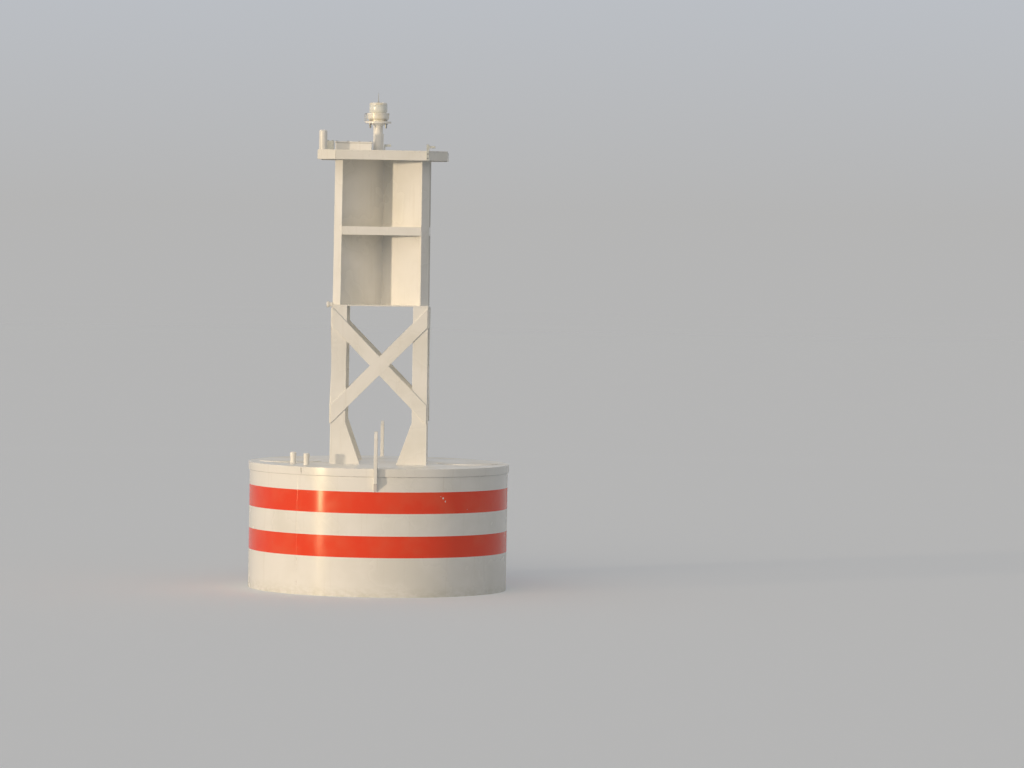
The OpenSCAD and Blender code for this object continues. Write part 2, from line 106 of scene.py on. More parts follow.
class Bead(Enum):
    """Weld beads, a sealant bead and a wire, by full width and half thickness in millimetres."""

    FILLET = (10, 5)
    WIDE_FILLET = (14, 5)
    FOOT_FILLET = (12, 5)
    LAP_FILLET = (8, 4)
    CROSS_FILLET = (8, 3)
    RAIL_END = (10, 3)
    FLAT = (10, 2)
    FLUSH = (8, 1.5)
    DECK_EDGE = (9, 2.5)
    COURSE_SEAM = (14, 2)
    PLATE_SEAM = (14, 1.6)
    TUBE_SEAM = (12, 1.5)
    SEALANT = (4, 2)
    WIRE = (5, 2.5)

    @property
    def width(self) -> float:
        """Full width in metres."""
        return self.value[0] * MM

    @property
    def height(self) -> float:
        """How far it stands out from its middle, in metres."""
        return self.value[1] * MM


def linear(code: str) -> tuple[float, float, float, float]:
    """Turns an sRGB hex colour such as "#E9E7E0" into linear light.

    Args:
        code: The hex colour.

    Returns:
        Red, green, blue and an alpha of 1.
    """
    parts = [int(code[i:i + 2], 16) / 255 for i in (1, 3, 5)]
    red, green, blue = (c / 12.92 if c <= 0.04045 else ((c + 0.055) / 1.055) ** 2.4 for c in parts)
    return red, green, blue, 1.0


def around(radius: float, azimuth: float, z: float) -> Vector:
    """The point at a radius, an azimuth and a height."""
    turn = math.radians(azimuth)
    return Vector((radius * math.sin(turn), -radius * math.cos(turn), z))


def quarter(k: int) -> Matrix:
    """The turn from the front to the k-th side: front, right, back, left."""
    return Matrix.Rotation(math.radians(90 * k), 3, "Z")


def laps(items: list) -> list[tuple]:
    """Each item with the next one, and the last with the first."""
    return list(zip(items, items[1:] + items[:1]))


def add_node(tree: bpy.types.NodeTree, kind: str, settings: dict | None = None,
             links: dict | None = None) -> bpy.types.Node:
    """Adds one node with its settings and links.

    Args:
        tree: The material's node tree.
        kind: Blender's name for the type of node.
        settings: Values by the name of a property, or by the name or number of an input socket.
        links: Output sockets by the name or number of the input socket that each goes to.

    Returns:
        The new node.
    """
    node = tree.nodes.new(kind)
    for key, value in (settings or {}).items():
        if isinstance(key, str) and hasattr(node, key):
            setattr(node, key, value)
        else:
            node.inputs[key].default_value = value
    for key, socket in (links or {}).items():
        tree.links.new(socket, node.inputs[key])
    return node


@dataclass(frozen=True)
class Mark:
    """One ragged mark at a known place: a chip, a stain or worn metal."""

    place: Vector
    size_mm: float
    colour: str
    stretch: Point = (1, 1, 1)
    strength: float = 1.0


@dataclass
class Coating:
    """One material while its layers are laid on."""

    name: str
    edge_cosines: tuple[float, float] = (0.75, 0.97)
    mark_reach: tuple[float, float] = (0.9, 1.05)
    mark_grain: float = 2.2
    tree: bpy.types.NodeTree = field(init=False)
    place: Socket = field(init=False)
    made: Material = field(init=False)

    def __post_init__(self) -> None:
        """Starts an empty material that is measured in the object's own metres."""
        self.made = bpy.data.materials.new(self.name)
        self.made.use_nodes = True
        self.tree = self.made.node_tree
        self.tree.nodes.clear()
        self.place = add_node(self.tree, "ShaderNodeTexCoord").outputs["Object"]

    def patches(self, size_mm: float, low: float, high: float, stretch: Point = (1, 1, 1),
                detail: float = 3.0, shift: float = 0.0) -> Socket:
        """Irregular patches of one real size.

        Args:
            size_mm: Width of a patch.
            low: Noise level at which a patch starts to show.
            high: Noise level at which it is full.
            stretch: How many times longer a patch is along each axis.
            detail: How ragged its outline is.
            shift: Moves the pattern, so that two layers differ.

        Returns:
            A mask from 0 to 1.
        """
        settings = {"Scale": [1 / (size_mm * MM * s) for s in stretch],
                    "Location": (shift, shift * 2, shift * 3)}
        mapped = add_node(self.tree, "ShaderNodeMapping", settings, {"Vector": self.place})
        noise = add_node(self.tree, "ShaderNodeTexNoise", {"Scale": 1.0, "Detail": detail},
                         {"Vector": mapped.outputs["Vector"]})
        return self.between(noise.outputs["Fac"], 0, 1, low, high)

    def between(self, value: Socket, at_low: float, at_high: float, low: float = 0.0,
                high: float = 1.0) -> Socket:
        """Turns a mask or a measure into another range, held at its ends.

        Args:
            value: The socket that is read.
            at_low: Result at the low end.
            at_high: Result at the high end.
            low: Input at the low end.
            high: Input at the high end.

        Returns:
            The new value.
        """
        ends = {"From Min": low, "From Max": high, "To Min": at_low, "To Max": at_high}
        return add_node(self.tree, "ShaderNodeMapRange", ends, {"Value": value}).outputs["Result"]

    def height(self) -> Socket:
        """Height above the waterline."""
        return add_node(self.tree, "ShaderNodeSeparateXYZ", links={"Vector": self.place}).outputs["Z"]

    def edges(self, radius_mm: float) -> Socket:
        """A mask that is 1 on sharp edges and fades over a radius."""
        soft = add_node(self.tree, "ShaderNodeBevel", {"samples": 4, "Radius": radius_mm * MM})
        true = add_node(self.tree, "ShaderNodeNewGeometry")
        likeness = add_node(self.tree, "ShaderNodeVectorMath", {"operation": "DOT_PRODUCT"},
                            {0: soft.outputs["Normal"], 1: true.outputs["True Normal"]})
        return self.between(likeness.outputs["Value"], 1, 0, *self.edge_cosines)

    def mark(self, mark: Mark) -> Socket:
        """A mask that shows one mark, with a ragged edge."""
        scale = [1 / (mark.size_mm * MM * s) for s in mark.stretch]
        offset = add_node(self.tree, "ShaderNodeVectorMath", {"operation": "SUBTRACT", 1: mark.place},
                          {0: self.place})
        scaled = add_node(self.tree, "ShaderNodeVectorMath", {"operation": "MULTIPLY", 1: scale},
                          {0: offset.outputs["Vector"]})
        reach = add_node(self.tree, "ShaderNodeVectorMath", {"operation": "LENGTH"},
                         {0: scaled.outputs["Vector"]})
        ragged = add_node(self.tree, "ShaderNodeTexNoise", {"Scale": self.mark_grain},
                          {"Vector": scaled.outputs["Vector"]})
        total = add_node(self.tree, "ShaderNodeMath", {"operation": "ADD"},
                         {0: reach.outputs["Value"], 1: ragged.outputs["Fac"]})
        return self.between(total.outputs["Value"], mark.strength, 0, *self.mark_reach)

    def both(self, first: Socket, second: Socket | float) -> Socket:
        """Keeps what two masks share, or thins one mask by a number."""
        product = add_node(self.tree, "ShaderNodeMath", {"operation": "MULTIPLY", "use_clamp": True},
                           {0: first})
        if isinstance(second, float):
            product.inputs[1].default_value = second
        else:
            self.tree.links.new(second, product.inputs[1])
        return product.outputs["Value"]

    def over(self, under: Socket | str, colour: str, mask: Socket) -> Socket:
        """Lays one colour over another where a mask shows it."""
        mix = add_node(self.tree, "ShaderNodeMix", {"data_type": "RGBA", 7: linear(colour)}, {0: mask})
        if isinstance(under, str):
            mix.inputs[6].default_value = linear(under)
        else:
            self.tree.links.new(under, mix.inputs[6])
        return mix.outputs[2]

    def marked(self, under: Socket, marks: tuple[Mark, ...]) -> Socket:
        """Lays marks over a colour."""
        for mark in marks:
            under = self.over(under, mark.colour, self.mark(mark))
        return under

    def plate_waves(self) -> tuple[Socket, float]:
        """The waves of welded plate, about 330 mm wide and 0.4 mm deep, as a layer of relief."""
        return self.patches(330, 0.2, 0.8, detail=1.0, shift=5.0), 0.4

    def relief(self, *layers: tuple[Socket, float]) -> Socket:
        """Stacks height masks, each with its depth in millimetres, into one normal."""
        normal = None
        for mask, depth_mm in layers:
            links = {"Height": mask} | ({"Normal": normal} if normal else {})
            bump = add_node(self.tree, "ShaderNodeBump", {"Distance": depth_mm * MM}, links)
            normal = bump.outputs["Normal"]
        return normal

    def surface(self, settings: dict, colour: Socket, roughness: Socket, normal: Socket) -> Material:
        """Joins the layers to the surface shader.

        Args:
            settings: Values that are the same all over.
            colour: Base colour.
            roughness: Roughness.
            normal: Normal.

        Returns:
            The finished material.
        """
        links = {"Base Color": colour, "Roughness": roughness, "Normal": normal}
        shader = add_node(self.tree, "ShaderNodeBsdfPrincipled", settings, links)
        add_node(self.tree, "ShaderNodeOutputMaterial", links={"Surface": shader.outputs["BSDF"]})
        return self.made


# Alkyd enamel rolled on steel plate. The eye sees a clean, bright white with a soft gloss that wavers
# with the plate, faint rain runs, and rust only in pinholes and where an edge has lost its paint.
@dataclass(frozen=True)
class MarineEnamel:
    """White marine enamel on steel plate."""

    name: str = "white_marine_enamel"
    body: str = "#EEECE6"
    chalk: str = "#E4E2DA"
    run: str = "#BDB29D"
    rust: str = "#7B4A2B"
    tide: str = "#B7B59C"
    tide_top: float = 0.11
    roughness: tuple[float, float] = (0.20, 0.34)
    edge_mm: float = 4.0
    grit_mm: float = 0.0
    marks: tuple[Mark, ...] = ()

    def material(self) -> Material:
        """Chalk, rain runs, a faint tide line, pin rust and worn edges over the enamel."""
        c = Coating(self.name)
        chalked = c.patches(420, 0.42, 0.66)
        runs = c.both(c.patches(34, 0.58, 0.78, (1, 1, 16), shift=3.0), 0.14)
        growth = c.patches(60, 0.35, 0.62, (1, 1, 0.5))
        tide = c.both(c.both(c.between(c.height(), 1, 0, 0, self.tide_top), growth), 0.30)
        pins = c.both(c.patches(9, 0.775, 0.81, (1, 1, 1.6), shift=8.0), 0.6)
        flaked = c.patches(26, 0.58, 0.66, detail=5.0, shift=9.0)
        worn = c.both(c.both(c.edges(self.edge_mm), flaked), 0.75)
        colour = c.over(self.body, self.chalk, chalked)
        for tone, mask in ((self.run, runs), (self.tide, tide), (self.rust, pins), (self.rust, worn)):
            colour = c.over(colour, tone, mask)
        peel = (c.patches(4, 0.3, 0.7, detail=1.0), 0.03)
        grit = ((c.patches(self.grit_mm, 0.45, 0.6, shift=6.0), 0.5),) if self.grit_mm else ()
        return c.surface({"IOR": 1.5}, c.marked(colour, self.marks),
                         c.between(chalked, *self.roughness), c.relief(c.plate_waves(), peel, *grit))


# Enamel brushed over the white. The eye sees a saturated orange-red with a bright gloss, slightly paler
# where the sun has faded it, and a few white chips.
@dataclass(frozen=True)
class BandEnamel:
    """Orange-red enamel over the white."""

    name: str = "orange_red_band_enamel"
    body: str = "#EE441E"
    faded: str = "#EC5430"
    undercoat: str = "#E6E2D8"
    roughness: tuple[float, float] = (0.16, 0.24)
    marks: tuple[Mark, ...] = ()

    def material(self) -> Material:
        """Faded patches and chips; the brush marks are drawn 5 mm wide, coarser than real, to show."""
        c = Coating(self.name)
        faded = c.patches(260, 0.45, 0.70)
        chips = c.patches(14, 0.775, 0.79, (1, 1, 1.4), shift=4.0)
        colour = c.over(c.over(self.body, self.faded, faded), self.undercoat, chips)
        brushed = (c.patches(5, 0.3, 0.7, (6, 6, 1), detail=1.0), 0.03)
        return c.surface({"IOR": 1.5}, c.marked(colour, self.marks), c.between(faded, *self.roughness),
                         c.relief(c.plate_waves(), brushed))


# Antifouling paint under water. The eye sees a dead flat red-brown, rubbed thin in places and green
# with slime.
@dataclass(frozen=True)
class BottomPaint:
    """Red-brown antifouling paint."""

    name: str = "antifouling_paint"
    body: str = "#7C3B2D"
    worn: str = "#653027"
    slime: str = "#4B4A31"
    scuff: str = "#8A8578"

    def material(self) -> Material:
        """Worn patches, slime and small barnacle scars over the paint, on a coarse rolled ground."""
        c = Coating(self.name)
        worn = c.patches(180, 0.38, 0.74)
        slime = c.both(c.patches(120, 0.46, 0.72, (1, 1, 2.5), detail=6.0, shift=2.0), 0.55)
        scars = c.patches(11, 0.72, 0.75, shift=7.0)
        colour = c.over(c.over(self.body, self.worn, worn), self.slime, slime)
        colour = c.over(colour, self.scuff, c.both(scars, 0.7))
        rolled = (c.patches(6, 0.3, 0.7), 0.2)
        return c.surface({"IOR": 1.45}, colour, c.between(slime, 0.82, 0.58),
                         c.relief(rolled, (scars, 0.8)))


# Sand-cast iron under one coat of bottom paint. The eye sees a dull, pitted skin with rust where the
# paint has gone.
@dataclass(frozen=True)
class CastIron:
    """Painted sand-cast iron."""

    name: str = "cast_iron_ballast"
    body: str = "#63332A"
    rust: str = "#7A4526"

    def material(self) -> Material:
        """Rust over the paint; the sand skin's grain is drawn 5 mm wide, coarser than real, to show."""
        c = Coating(self.name)
        rust = c.patches(70, 0.50, 0.60, detail=6.0)
        sand = (c.patches(5, 0.3, 0.7, detail=4.0), 0.6)
        return c.surface({"IOR": 1.45}, c.over(self.body, self.rust, rust), c.between(rust, 0.78, 0.92),
                         c.relief(sand))


# Hot-dip galvanised steel after some years at sea. The eye sees a pale, chalky zinc patina with a faint
# spangle.
@dataclass(frozen=True)
class GalvanisedSteel:
    """Weathered hot-dip galvanised steel."""

    name: str = "galvanised_steel"
    body: str = "#BFC2BD"
    spangle: str = "#CDCFC9"

    def material(self) -> Material:
        """Spangle crystals about 12 mm wide in the patina, which hides most of the metal."""
        c = Coating(self.name)
        spangle = c.patches(12, 0.42, 0.58, detail=0.0)
        return c.surface({"Metallic": 0.2}, c.over(self.body, self.spangle, spangle),
                         c.between(spangle, 0.42, 0.58), c.relief((spangle, 0.05)))


# Drawn stainless steel. The eye sees a cool sheen with fine lines along it and brown tea stains.
@dataclass(frozen=True)
class StainlessSteel:
    """Drawn stainless steel with tea stains."""

    name: str = "stainless_steel"
    body: str = "#A6A5A0"
    tea: str = "#7A6250"

    def material(self) -> Material:
        """Tea stains; the drawn lines are 1.5 mm wide, coarser than real ones, so that they show."""
        c = Coating(self.name)
        tea = c.both(c.patches(11, 0.55, 0.70), 0.6)
        drawn = c.patches(1.5, 0.3, 0.7, (1, 1, 20))
        return c.surface({"Metallic": 1.0}, c.over(self.body, self.tea, tea),
                         c.between(drawn, 0.26, 0.38), c.relief((drawn, 0.01)))


# Injection-moulded white polycarbonate. The eye sees a smooth, warm white gloss that the sun has begun
# to yellow.
@dataclass(frozen=True)
class MouldedPolycarbonate:
    """White moulded polycarbonate."""

    name: str = "white_polycarbonate"
    body: str = "#ECEAE3"
    yellowed: str = "#E4DECB"

    def material(self) -> Material:
        """Yellowed patches and salt bloom over a moulded gloss."""
        c = Coating(self.name)
        yellowed = c.patches(60, 0.45, 0.65)
        bloom = c.patches(8, 0.4, 0.7, detail=4.0)
        return c.surface({"IOR": 1.585}, c.over(self.body, self.yellowed, yellowed),
                         c.between(bloom, 0.20, 0.34), c.relief((bloom, 0.01)))


# Clear polycarbonate lens over white optics. The eye sees a milky, greenish white under a wet-looking
# clear skin.
@dataclass(frozen=True)
class LensPolycarbonate:
    """Salt-hazed polycarbonate lens."""

    name: str = "lens_polycarbonate"
    body: str = "#E2E4DC"
    haze: str = "#ECEBE4"

    def material(self) -> Material:
        """Salt haze over a milky lens."""
        c = Coating(self.name)
        haze = c.patches(25, 0.45, 0.65, detail=4.0)
        return c.surface({"IOR": 1.585, "Coat Weight": 0.6, "Coat Roughness": 0.14},
                         c.over(self.body, self.haze, haze), c.between(haze, 0.16, 0.34),
                         c.relief((haze, 0.01)))


# Extruded grey rubber. The eye sees a soft grey line with a dusty bloom.
@dataclass(frozen=True)
class GasketRubber:
    """Grey rubber of the box's seal."""

    name: str = "gasket_rubber"
    body: str = "#8C8B85"
    bloom: str = "#A09F98"

    def material(self) -> Material:
        """Dusty bloom over the rubber."""
        c = Coating(self.name)
        bloom = c.patches(14, 0.45, 0.65)
        return c.surface({"IOR": 1.52}, c.over(self.body, self.bloom, bloom),
                         c.between(bloom, 0.55, 0.8), c.relief((bloom, 0.05)))


def line(start: Vector, end: Vector, outward: Vector) -> list[Station]:
    """Stations of a weld run along a straight line, one for each ripple.

    Args:
        start: Its first point.
        end: Its last point.
        outward: The way in which the bead swells.

    Returns:
        Points, each with its outward direction.
    """
    count = max(2, round((end - start).length / RIPPLE))
    return [(start.lerp(end, i / count), outward.normalized()) for i in range(count + 1)]


def ring(radius: float, z: float, tilt: float = 0.0, centre: Vector = Vector(),
         pitch: float = RIPPLE) -> list[Station]:
    """Stations of a weld run round an upright axis.

    Args:
        radius: Radius of the ring.
        z: Its height above the centre.
        tilt: Angle of the outward direction above the horizontal, in degrees.
        centre: A point on the axis.
        pitch: Distance between stations.

    Returns:
        Points, each with its outward direction.
    """
    count = max(24, round(TURN * radius / pitch))
    lean = math.radians(tilt)
    spokes = [around(1, 360 * i / count, 0) for i in range(count)]
    return [(centre + s * radius + UP * z, s * math.cos(lean) + UP * math.sin(lean)) for s in spokes]


def seat(point: Vector, axis: Vector = UP) -> Matrix:
    """The place of a turned piece whose own Z axis points along an axis."""
    return Matrix.Translation(point) @ axis.to_track_quat("Z", "Y").to_matrix().to_4x4()


@dataclass
class Forge:
    """Mesh of one new piece, made in the frame's own coordinates."""

    name: str
    mesh: bmesh.types.BMesh = field(default_factory=bmesh.new)

    def skin(self, loops: list[list[bmesh.types.BMVert]], closed: bool) -> None:
        """Joins loops of points into a skin.

        Args:
            loops: Loops with one number of points, or a single point for a pole.
            closed: Whether the last loop meets the first.
        """
        for near, far in laps(loops) if closed else zip(loops, loops[1:]):
            for i in range(max(len(near), len(far))):
                j = i + 1
                corners = [near[i % len(near)], near[j % len(near)], far[j % len(far)], far[i % len(far)]]
                self.mesh.faces.new(list(dict.fromkeys(corners)))

    def bead(self, stations: list[Station], size: Bead = Bead.FILLET, closed: bool = False,
             ripple: float = 0.3, sides: int = 6) -> None:
        """A weld bead, or a plain rod where it has no ripple.

        Args:
            stations: Points, each with its outward direction.
            size: Its width and height.
            closed: Whether the run is a ring.
            ripple: Share of the height that every second station lacks.
            sides: Number of sides of its section.
        """
        loops = []
        last = len(stations) - 1
        for i, (spot, outward) in enumerate(stations):
            before = stations[i - 1 if closed or i else 0][0]
            after = stations[(i + 1) % (last + 1) if closed else min(i + 1, last)][0]
            side = (after - before).cross(outward).normalized() * (size.width / 2)
            swell = outward * size.height * (1 - ripple * (i % 2))
            turns = [TURN * k / sides for k in range(sides)]
            spots = [spot + side * math.cos(t) + swell * math.sin(t) for t in turns]
            loops.append([self.mesh.verts.new(s) for s in spots])
        self.skin(loops, closed)
        if not closed:
            self.mesh.faces.new(loops[0])
            self.mesh.faces.new(loops[-1])

    def turned(self, profile: list[tuple[float, float]], place: Matrix, steps: int) -> None:
        """A turned form, or with six steps a hexagon.

        Args:
            profile: Points of radius and height, from the axis round to the axis.
            place: Where its own axis stands.
            steps: Number of facets round the axis.
        """
        loops = []
        for radius, z in profile:
            turns = [TURN * k / steps for k in range(steps)] if radius else [0.0]
            spots = [Vector((radius * math.cos(t), radius * math.sin(t), z)) for t in turns]
            loops.append([self.mesh.verts.new(place @ spot) for spot in spots])
        self.skin(loops, closed=False)

    def bolt(self, place: Matrix, across: float) -> None:
        """A hexagon head, chamfered on top, on a washer 1.35 times as wide.

        Args:
            place: Where the washer's underside lies.
            across: Width of the head across its corners.
        """
        rim, head = across / 2, across * 0.38
        disc, sheet, top = rim * 1.35, head * 0.22, head * 1.14
        self.turned([(0, 0), (disc, 0), (disc, head * 0.10), (disc * 0.94, sheet), (0, sheet)], place, 20)
        self.turned([(0, 0), (rim, 0), (rim, head), (rim * 0.86, top), (0, top)], place, 6)

    def slab(self, centre: Vector, size: Vector, round_off: float) -> None:
        """A block with rounded edges.

        Args:
            centre: Its middle.
            size: Its length along each axis.
            round_off: Radius of its edges.
        """
        place = Matrix.Translation(centre) @ Matrix.Diagonal((*size, 1.0))
        made = bmesh.ops.create_cube(self.mesh, size=1.0, matrix=place)
        edges = list({edge for vert in made["verts"] for edge in vert.link_edges})
        bmesh.ops.bevel(self.mesh, geom=edges, offset=round_off, segments=3, profile=0.5, affect="EDGES")

    def close(self, coat: Coat, material: Material) -> None:
        """Turns the mesh into a piece of the buoy.

        Args:
            coat: Its finish.
            material: The material of that finish.
        """
        bmesh.ops.recalc_face_normals(self.mesh, faces=self.mesh.faces)
        data = bpy.data.meshes.new(self.name)
        self.mesh.to_mesh(data)
        self.mesh.free()
        data.shade_smooth()
        data.set_sharp_from_angle(angle=SHARP_TURN)
        data.materials.append(material)
        piece = bpy.data.objects.new(self.name, data)
        bpy.context.scene.collection.objects.link(piece)
        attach(piece, BODY)
        LOG.info("%s: %d faces, %s", self.name, len(data.polygons), coat.value[0])


@dataclass
class SubAssembly:
    """What the sub-assemblies share: the finishes, and how nodes and pieces take them."""

    finishes: dict[Coat, Material]

    def dress(self, coat: Coat, *nodes: str, edge_mm: float = 2.0) -> None:
        """Gives nodes a finish and eases their edges.

        Args:
            coat: The finish.
            nodes: Names of the nodes.
            edge_mm: Radius of the eased edges.
        """
        steps = (("joined_faces", "WELD", {"merge_threshold": JOINED}),
                 ("merged_facets", "DECIMATE", {"decimate_type": "DISSOLVE", "angle_limit": FLAT_TURN}),
                 ("eased_edges", "BEVEL", {"limit_method": "ANGLE", "angle_limit": EASED_TURN,
                                           "width": edge_mm * MM, "segments": 2}),
                 ("even_shading", "WEIGHTED_NORMAL", {"mode": "FACE_AREA", "weight": 50}))
        for name in nodes:
            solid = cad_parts[name]
            solid.material_slots[0].material = self.finishes[coat]
            for title, kind, settings in steps:
                modifier = solid.modifiers.new(title, kind)
                for key, value in settings.items():
                    setattr(modifier, key, value)
            LOG.info("%s: %s", name, coat.value[0])

    def close(self, forge: Forge, coat: Coat) -> None:
        """Finishes one new piece."""
        forge.close(coat, self.finishes[coat])


@dataclass
class Float(SubAssembly):
    """Drum-shaped float: shell in two courses, deck, fender ring and two painted bands."""

    radius: float = field(default_factory=lambda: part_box("hull_upper")[1].x)
    deck: float = field(default_factory=lambda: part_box("deck_plate")[1].z)
    rim_foot: float = field(default_factory=lambda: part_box("fender_ring")[0].z)
    seam: float = field(default_factory=lambda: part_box("hull_lower")[1].z)
    chine: float = field(default_factory=lambda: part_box("hull_lower")[0].z)
    butts: tuple[float, ...] = (-36.8, 83.2, 203.2)
    course_turn: float = 60.0
    sunk: float = 1 * MM

    def build(self) -> None:
        """Dresses the shell and lays its welds."""
        self.dress(Coat.WHITE, "hull_upper", "fender_ring", edge_mm=3.0)
        self.dress(Coat.NONSKID, "deck_plate", edge_mm=1.5)
        self.dress(Coat.BAND, "band_upper", "band_lower", edge_mm=0.5)
        self.dress(Coat.BOTTOM, "hull_lower", "hull_bottom", edge_mm=3.0)
        self.ring_welds()
        self.butt_welds()

    def ring_welds(self) -> None:
        """Welds round the float: fender ring, deck edge, course seam and chine."""
        white = Forge("float_ring_welds")
        white.bead(ring(self.radius, self.rim_foot, -45), closed=True)
        white.bead(ring(self.radius, self.deck - self.sunk, 90), Bead.DECK_EDGE, closed=True)
        self.close(white, Coat.WHITE)
        bottom = Forge("bottom_ring_welds")
        bottom.bead(ring(self.radius, self.seam), Bead.COURSE_SEAM, closed=True)
        bottom.bead(ring(self.radius - self.sunk, self.chine, -30), closed=True)
        self.close(bottom, Coat.BOTTOM)

    def butt_welds(self) -> None:
        """Upright welds of the shell plates, in the paint of each level that they cross."""
        bands = [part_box(name) for name in ("band_lower", "band_upper")]
        levels = [self.seam] + [corner.z for box in bands for corner in box] + [self.rim_foot]
        forges = {Coat.WHITE: Forge("float_butt_welds"), Coat.BAND: Forge("band_butt_welds"),
                  Coat.BOTTOM: Forge("bottom_butt_welds")}
        for azimuth in self.butts:
            for i, (low, high) in enumerate(zip(levels, levels[1:])):
                self.butt(forges[Coat.BAND if i % 2 else Coat.WHITE], azimuth, low, high)
            self.butt(forges[Coat.BOTTOM], azimuth + self.course_turn, self.chine, self.seam)
        for coat, forge in forges.items():
            self.close(forge, coat)

    def butt(self, forge: Forge, azimuth: float, low: float, high: float) -> None:
        """One upright weld between two levels."""
        foot, top = around(self.radius, azimuth, low), around(self.radius, azimuth, high)
        forge.bead(line(foot, top, around(1, azimuth, 0)), Bead.PLATE_SEAM)


@dataclass
class Tail(SubAssembly):
    """Counterweight tube with its brackets and the cast counterweight."""

    tube_top: float = field(default_factory=lambda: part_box("counterweight_tube")[1].z)
    tube_foot: float = field(default_factory=lambda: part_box("counterweight_tube")[0].z)
    radius: float = field(default_factory=lambda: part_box("counterweight_tube")[1].x)
    bracket_foot: float = field(default_factory=lambda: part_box("tube_brackets")[0].z)
    bracket_half: float = 6 * MM

    def build(self) -> None:
        """Dresses the tail and lays its welds."""
        self.dress(Coat.BOTTOM, "counterweight_tube", "tube_brackets", edge_mm=2.0)
        self.dress(Coat.BALLAST, "counterweight", edge_mm=12.0)
        welds = Forge("tail_welds")
        welds.bead(ring(self.radius, self.tube_top, -45), Bead.WIDE_FILLET, closed=True)
        welds.bead(ring(self.radius, self.tube_foot, 45), Bead.WIDE_FILLET, closed=True)
        seam = [around(self.radius, 0, z) for z in (self.tube_foot, self.tube_top)]
        welds.bead(line(*seam, FRONT), Bead.TUBE_SEAM)
        for azimuth in DIAGONALS:
            for side in (-1, 1):
                shift = around(self.bracket_half * side, azimuth + 90, 0)
                ends = [around(self.radius, azimuth, z) + shift for z in (self.bracket_foot, self.tube_top)]
                welds.bead(line(*ends, around(1, azimuth, 0) + shift.normalized()))
        self.close(welds, Coat.BOTTOM)


@dataclass
class LiftingGear(SubAssembly):
    """Lifting lugs on the deck's edge and mooring eyes on the lower shell."""

    shell: float = field(default_factory=lambda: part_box("hull_upper")[1].x)
    deck: float = field(default_factory=lambda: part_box("deck_plate")[1].z)
    fender: tuple[float, float] = field(default_factory=lambda: (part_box("fender_ring")[0].z,
                                                                 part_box("fender_ring")[1].x))

    def build(self) -> None:
        """Dresses the plates, welds each to the shell, and welds the lugs to the deck."""
        self.dress(Coat.WHITE, "lifting_lug_front", "lifting_lug_back", edge_mm=3.0)
        self.dress(Coat.BOTTOM, "mooring_eye_front", "mooring_eye_back", edge_mm=3.0)
        white, bottom = Forge("lug_welds"), Forge("mooring_eye_welds")
        for end in ("front", "back"):
            self.root(white, "lifting_lug_" + end, self.fender[0])
            self.root(bottom, "mooring_eye_" + end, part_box("hull_lower")[1].z)
            self.deck_run(white, "lifting_lug_" + end)
        self.close(white, Coat.WHITE)
        self.close(bottom, Coat.BOTTOM)

    def root(self, forge: Forge, node: str, top: float) -> None:
        """Upright welds on both faces of a plate where it meets the shell.

        Args:
            forge: The mesh of the welds.
            node: The plate's node.
            top: Highest level of the welds.
        """
        low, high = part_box(node)
        way = Vector((0, 1 if high.y > 0 else -1, 0))
        foot = max(low.z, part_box("hull_lower")[0].z)
        top = min(high.z, top)
        for x in (low.x, high.x):
            face = Vector((x, 0, 0))
            ends = [way * self.shell + face + UP * z for z in (foot, top)]
            forge.bead(line(*ends, way + face.normalized()), Bead.WIDE_FILLET)

    def deck_run(self, forge: Forge, node: str) -> None:
        """Welds along both faces of a lug and round its inner end on the deck."""
        low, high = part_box(node)
        way = 1 if high.y > 0 else -1
        inner, outer = min(low.y, high.y, key=abs), way * self.fender[1]
        for x in (low.x, high.x):
            ends = [Vector((x, y, self.deck)) for y in (inner, outer)]
            forge.bead(line(*ends, Vector((x, 0, 0)).normalized() + UP), Bead.WIDE_FILLET)
        ends = [Vector((x, inner, self.deck)) for x in (low.x, high.x)]
        forge.bead(line(*ends, Vector((0, -way, 1))), Bead.WIDE_FILLET)


@dataclass
class DeckFittings(SubAssembly):
    """Capped vent pipes and the bolted covers of the battery pockets."""

    screws_per_cover: int = 16
    screw_r: float = 10 * MM
    screw_h: float = 0.8 * MM
    screw_taper: float = 0.9
    rim_w: float = 60 * MM
    rim_t: float = 6 * MM
    sealant_ripple: float = 0.1
    vent_r: float = 27 * MM
    vent_cap_r: float = 30 * MM
    vent_ripple: float = 6 * MM

    def build(self) -> None:
        """Dresses the fittings, and adds painted countersunk screws, sealant and welds."""
        self.dress(Coat.NONSKID, "pocket_cover_left", "pocket_cover_right", edge_mm=1.5)
        self.dress(Coat.WHITE, "deck_vents", edge_mm=1.5)
        screws, sealant = Forge("cover_screws"), Forge("cover_sealant")
        top = self.screw_r * self.screw_taper
        head = [(0, 0), (self.screw_r, 0), (top, self.screw_h), (0, self.screw_h)]
        for node in ("pocket_cover_left", "pocket_cover_right"):
            low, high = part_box(node)
            radius = (high.x - low.x) / 2
            centre = Vector(((low.x + high.x) / 2, 0, low.z))
            for i in range(self.screws_per_cover):
                azimuth = 360 / self.screws_per_cover * (i + 0.5)
                screws.turned(head, seat(centre + around(radius - self.rim_w / 2, azimuth, self.rim_t)), 20)
            sealant.bead(ring(radius, 0, 45, centre), Bead.SEALANT, closed=True, ripple=self.sealant_ripple)
        self.close(screws, Coat.NONSKID)
        self.close(sealant, Coat.NONSKID)
        self.vent_welds()

    def vent_welds(self) -> None:
        """Weld round the foot of each vent pipe."""
        low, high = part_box("deck_vents")
        reach = self.vent_cap_r
        welds = Forge("vent_welds")
        for x, y in ((low.x + reach, high.y - reach), (high.x - reach, low.y + reach)):
            welds.bead(ring(self.vent_r, 0, 45, Vector((x, y, low.z)), self.vent_ripple), closed=True)
        self.close(welds, Coat.WHITE)


